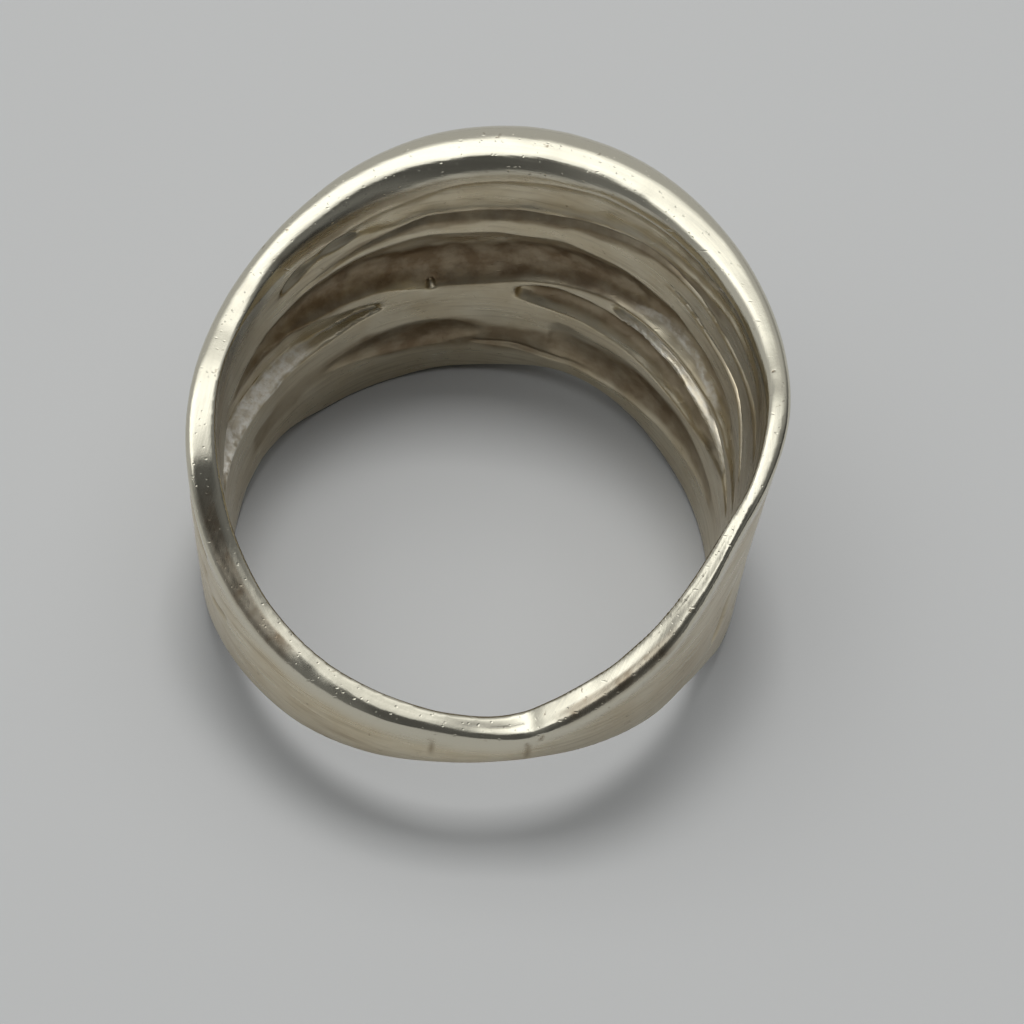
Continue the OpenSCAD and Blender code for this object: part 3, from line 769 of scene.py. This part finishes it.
# Streaks run round the ring: how much finer the grain is along and across them
GRAIN_ALONG = 0.35
GRAIN_ACROSS = 6.0
# Where in a noise or in the distance from a point each mark begins and is complete
SCRATCH_EDGE = (0.04, 0.16)
PIT_EDGE = (0.02, 0.15)
PIT_PLACES = (0.48, 0.58)
PATCHES_EDGE = (0.38, 0.62)
FILM_EDGE = (0.50, 0.75)
WARM_EDGE = (0.35, 0.65)
FROST_EDGE = (0.40, 0.62)
# The least share of a darkened place (tarnish and painted shade), the film's and the pits' darkness, the
# least share of a frosted place
LEAST_DARKENING = 0.70
FILM_SHADE = 0.35
PIT_SHADE = 0.8
LEAST_FROST = 0.35
# What streaks, tarnish and frost add to the roughness
STREAK_ROUGH = (-0.05, 0.08)
TARNISH_ROUGH = 0.12
FROST_ROUGH = 0.15
# Heights of the finest unevenness, as shares of the bump's height
STREAK_HEIGHT = 0.5
SPECK_HEIGHT = 0.35
PIT_DEPTH = 0.4
SCRATCH_DEPTH = 0.8
BUMP_STRENGTH = 0.35
BUMP_HEIGHT = 0.00003


def scratch_set(tree, mm, turn):
    """Thin short scratches, all about the same way."""
    turned = node(tree, "ShaderNodeVectorRotate", {"rotation_type": "EULER_XYZ"}, Vector=mm, Rotation=turn)
    stretched = vectors(tree, "MULTIPLY", i0=turned.outputs[0], i1=SCRATCH_CELLS)[0]
    return spread(tree, cell_distance(tree, stretched, 1.0), *SCRATCH_EDGE, 1.0, 0.0)


def grain_along(tree, mm):
    """Fine streaks round the ring, as polishing leaves them."""
    parts = node(tree, "ShaderNodeSeparateXYZ", None, Vector=mm).outputs
    flat = node(tree, "ShaderNodeCombineXYZ", None, X=parts[0], Y=parts[1]).outputs[0]
    reach = vectors(tree, "LENGTH", Vector=flat)["Value"]
    across = plus(tree, parts[2], reach)
    streaks = node(tree, "ShaderNodeCombineXYZ", None, X=times(tree, parts[0], GRAIN_ALONG),
                   Y=times(tree, parts[1], GRAIN_ALONG), Z=times(tree, across, GRAIN_ACROSS)).outputs[0]
    return noise(tree, streaks, scale=1.0, detail=4.0, rough=0.6)


def casting_pits(tree, mm, cloud):
    """Small ragged pits, in some places only."""
    wander = node(tree, "ShaderNodeTexNoise", None, Vector=mm, Scale=4.0, Detail=2.0).outputs["Color"]
    ragged = vectors(tree, "MULTIPLY_ADD", i0=wander, i1=(0.5, 0.5, 0.5), i2=mm)[0]
    holes = spread(tree, cell_distance(tree, ragged, 1.7), *PIT_EDGE, 1.0, 0.0)
    return times(tree, holes, spread(tree, cloud, *PIT_PLACES))


def dull_and_shade_share(tree, mm, depth, grain, worn, pits):
    """Share of darkening: the deposits and stains in patches, partly painted shade, a film where nothing
    polishes, and the pits.
    """
    patchy = noise(tree, mm, scale=1.1, detail=3.0, rough=0.6)
    dull_and_shade = times(tree, depth, spread(tree, patchy, *PATCHES_EDGE, 1.0, LEAST_DARKENING))
    streaks = spread(tree, grain, *FILM_EDGE, 0.0, FILM_SHADE)
    dull_and_shade = maths(tree, "MAXIMUM", dull_and_shade, times(tree, streaks, maths(tree, "SUBTRACT", 1.0, worn)))
    return maths(tree, "MAXIMUM", dull_and_shade, times(tree, pits, PIT_SHADE))


def clean_colour(tree, cloud, worn):
    """Metal without tarnish: clouds of warmer silver, and whiter where it is polished."""
    cast = blend(tree, spread(tree, cloud, *WARM_EDGE), BRIGHT_SILVER, WARM_SILVER)
    return blend(tree, spread(tree, worn, 0.3, 1.0, 0.0, 0.9), cast, POLISHED_SILVER)


def roughness(tree, worn, grain, depth, frosted):
    """Smoother where the metal is polished, rougher in streaks, tarnish and frost."""
    rough = spread(tree, worn, 0.0, 1.0, CAST_ROUGH, POLISHED_ROUGH)
    rough = plus(tree, rough, spread(tree, grain, 0.3, 0.7, *STREAK_ROUGH))
    rough = plus(tree, rough, times(tree, depth, TARNISH_ROUGH))
    return plus(tree, rough, times(tree, frosted, FROST_ROUGH))


def relief(tree, mm, grain, speck, pits):
    """Height of the finest unevenness: grain, specks, pits and scratches."""
    scratches = plus(tree, *[scratch_set(tree, mm, way) for way in SCRATCH_WAYS])
    height = plus(tree, times(tree, grain, STREAK_HEIGHT), times(tree, speck, SPECK_HEIGHT))
    height = maths(tree, "SUBTRACT", height, times(tree, pits, PIT_DEPTH))
    return maths(tree, "SUBTRACT", height, times(tree, scratches, SCRATCH_DEPTH))


def silver():
    """Worn silver, as the mesh's three shares and the noises say, with painted shade in its tarnish share."""
    material = bpy.data.materials.new("worn_silver_with_painted_shade")
    material.use_nodes = True
    tree = material.node_tree
    shader = tree.nodes["Principled BSDF"].inputs
    place = node(tree, "ShaderNodeTexCoord").outputs["Object"]
    mm = vectors(tree, "SCALE", Vector=place, Scale=1 / MM)[0]
    # Tarnish with painted shade: the deposits, the outside's grooves and the rim's dark patches
    depth = attribute(tree, "tarnish_and_shade")
    worn = attribute(tree, "polish")
    pale = attribute(tree, "frost")
    grain = grain_along(tree, mm)
    cloud = noise(tree, mm, scale=0.45, detail=4.0, rough=0.6)
    speck = noise(tree, mm, scale=3.2, detail=3.0, rough=0.6)
    pits = casting_pits(tree, mm, cloud)
    dull_and_shade = dull_and_shade_share(tree, mm, depth, grain, worn, pits)
    frosted = times(tree, pale, spread(tree, speck, *FROST_EDGE, LEAST_FROST, 1.0))
    # The tarnish colour also paints shade where the mesh's share says
    metal_colour = blend(tree, dull_and_shade, clean_colour(tree, cloud, worn), TARNISH_AND_SHADE)
    give(tree, shader["Base Color"], blend(tree, frosted, metal_colour, FROSTED_SILVER))
    # Darker grazing reflection where tarnished, which also paints shade in the grooves
    give(tree, shader["Specular Tint"], blend(tree, dull_and_shade, CLEAN_EDGE, DULL_AND_SHADED_EDGE))
    give(tree, shader["Metallic"], spread(tree, frosted, 0.0, 1.0, 1.0, FROSTED_METALLIC))
    give(tree, shader["Roughness"], roughness(tree, worn, grain, depth, frosted))
    bump = node(tree, "ShaderNodeBump", None, Strength=BUMP_STRENGTH, Distance=BUMP_HEIGHT,
                Height=relief(tree, mm, grain, speck, pits)).outputs[0]
    give(tree, shader["Normal"], bump)
    return material


# Stage, light and camera

FLOOR_HALF = 0.6
FLOOR_GREY = (0.246, 0.248, 0.246, 1)
FLOOR_ROUGH = 0.9


def floor():
    """The pale surface under the ring."""
    mesh = bpy.data.meshes.new("floor")
    corners = [(x * FLOOR_HALF, y * FLOOR_HALF, 0) for x, y in ((-1, -1), (1, -1), (1, 1), (-1, 1))]
    mesh.from_pydata(corners, [], [(0, 1, 2, 3)])
    sheet = bpy.data.objects.new("floor", mesh)
    bpy.context.scene.collection.objects.link(sheet)
    material = bpy.data.materials.new("pale_paper")
    material.use_nodes = True
    shader = material.node_tree.nodes["Principled BSDF"].inputs
    shader["Base Color"].default_value = FLOOR_GREY
    shader["Roughness"].default_value = FLOOR_ROUGH
    mesh.materials.append(material)


def area_light(name, place, side, power):
    """A square lamp that points at the ring. It lights the floor and rough metal, and isn't mirrored."""
    light = bpy.data.lights.new(name, "AREA")
    light.size = side
    light.energy = power
    lamp = bpy.data.objects.new(name, light)
    lamp.location = place
    lamp.rotation_euler = (-Vector(place)).to_track_quat("-Z", "Y").to_euler()
    lamp.visible_glossy = False
    bpy.context.scene.collection.objects.link(lamp)


# Brightness of the surroundings: behind the ring as the camera sees it, beside the camera, behind the camera,
# to the right near the floor as a share of the rest, and of the white ceiling panel over the ring
FAR_GLOW = 0.50
NEAR_GLOW = 0.17
CAMERA_SHADE = 0.085
RIGHT_SHADE = 0.25
PANEL_GLOW = 1.40
WORLD_COLOUR = (0.97, 0.99, 1.0, 1)
# A direction has three parts: x to the right, y away from the camera, z up. The first pair says how much x
# and y count towards the brighter side, and in each other pair a change begins and ends.
TOWARDS_LIGHT = (-0.5, 0.85)
BEHIND_RING = (-0.3, 0.25)
RIGHT_X = (0.45, 0.80)
RIGHT_Z = (0.25, 0.55)
PERSON_X = (0.15, 0.45)
PERSON_Y = (-0.35, -0.18)
# The panel's edges on a ceiling one unit up, how its near edge slants, and how its sides spread with distance
LEAST_Z = 0.02
PANEL_NEAR = (-0.34, -0.22)
PANEL_FAR = (0.30, 0.90)
PANEL_LEFT = (-1.4, -0.7)
PANEL_RIGHT = (-0.35, 0.35)
SLANT_FROM = 0.2
PANEL_SLANT = 0.9
PANEL_SPREAD = 0.6


def room(tree, x, y, z):
    """Brightness of the room around the ring, without the panel, from the direction's parts."""
    side = plus(tree, times(tree, x, TOWARDS_LIGHT[0]), times(tree, y, TOWARDS_LIGHT[1]))
    glow = spread(tree, side, *BEHIND_RING, NEAR_GLOW, FAR_GLOW)
    low_right = times(tree, spread(tree, x, *RIGHT_X), spread(tree, z, *RIGHT_Z, 1.0, 0.0))
    glow = times(tree, glow, spread(tree, low_right, 0.0, 1.0, 1.0, RIGHT_SHADE))
    beside = spread(tree, maths(tree, "ABSOLUTE", x), *PERSON_X, 1.0, 0.0)
    person = times(tree, beside, spread(tree, y, *PERSON_Y, 1.0, 0.0))
    return times(tree, glow, spread(tree, person, 0.0, 1.0, 1.0, CAMERA_SHADE / NEAR_GLOW))


def ceiling_panel(tree, x, y, z):
    """Share of the panel at a direction. Its place is where the direction meets a ceiling one unit up."""
    height = maths(tree, "MAXIMUM", z, LEAST_Z)
    over_x = maths(tree, "DIVIDE", x, height)
    over_y = maths(tree, "DIVIDE", y, height)
    slant = maths(tree, "MINIMUM", times(tree, plus(tree, over_x, SLANT_FROM), PANEL_SLANT), 0.0)
    near_edge = spread(tree, maths(tree, "SUBTRACT", over_y, slant), *PANEL_NEAR)
    panel = times(tree, near_edge, spread(tree, over_y, *PANEL_FAR, 1.0, 0.0))
    wider = times(tree, maths(tree, "MAXIMUM", over_y, 0.0), PANEL_SPREAD)
    panel = times(tree, panel, spread(tree, plus(tree, over_x, wider), *PANEL_LEFT))
    return times(tree, panel, spread(tree, maths(tree, "SUBTRACT", over_x, wider), *PANEL_RIGHT, 1.0, 0.0))


def surroundings():
    """A room, light behind the ring and dark where the photographer stands, with a panel on the ceiling."""
    world = bpy.data.worlds.new("studio")
    world.use_nodes = True
    tree = world.node_tree
    toward = node(tree, "ShaderNodeTexCoord").outputs["Generated"]
    parts = node(tree, "ShaderNodeSeparateXYZ", None, Vector=toward).outputs
    panel = times(tree, ceiling_panel(tree, *parts), PANEL_GLOW)
    back = tree.nodes["Background"].inputs
    back["Color"].default_value = WORLD_COLOUR
    give(tree, back["Strength"], plus(tree, room(tree, *parts), panel))
    bpy.context.scene.world = world


def lights():
    surroundings()
    area_light("ceiling_lamp", place=(-0.01, 0.112, 0.48), side=0.13, power=2.2)
    area_light("bounced_light", place=(0, 0.05, 0.48), side=0.55, power=1.5)


# The camera: 60 degrees above the floor and 85 mm from its target, rolled, as measured in the photograph
CAM_TARGET = (1.31, -0.97, 5.8)
CAM_DISTANCE = 85.0
CAM_ELEVATION = math.radians(60)
CAM_ROLL = math.radians(7)
FOCAL_PIXELS = 2378
PICTURE_PIXELS = 1024
SENSOR_WIDTH = 36.0


def camera():
    forward = Vector((0, math.cos(CAM_ELEVATION), -math.sin(CAM_ELEVATION)))
    level = Vector((1, 0, 0))
    upward = level.cross(forward)
    right = math.cos(CAM_ROLL) * level + math.sin(CAM_ROLL) * upward
    up = math.cos(CAM_ROLL) * upward - math.sin(CAM_ROLL) * level
    place = (Vector(CAM_TARGET) - CAM_DISTANCE * forward) * MM
    lens = bpy.data.cameras.new("camera")
    lens.sensor_width = SENSOR_WIDTH
    lens.lens = SENSOR_WIDTH * FOCAL_PIXELS / PICTURE_PIXELS
    lens.clip_start = 1 * MM
    eye = bpy.data.objects.new("camera", lens)
    turn = Matrix((right, up, -forward)).transposed()
    eye.matrix_world = Matrix.Translation(place) @ turn.to_4x4()
    bpy.context.scene.collection.objects.link(eye)
    bpy.context.scene.camera = eye


bpy.context.scene.view_settings.view_transform = "Standard"
make_ring()
floor()
lights()
camera()
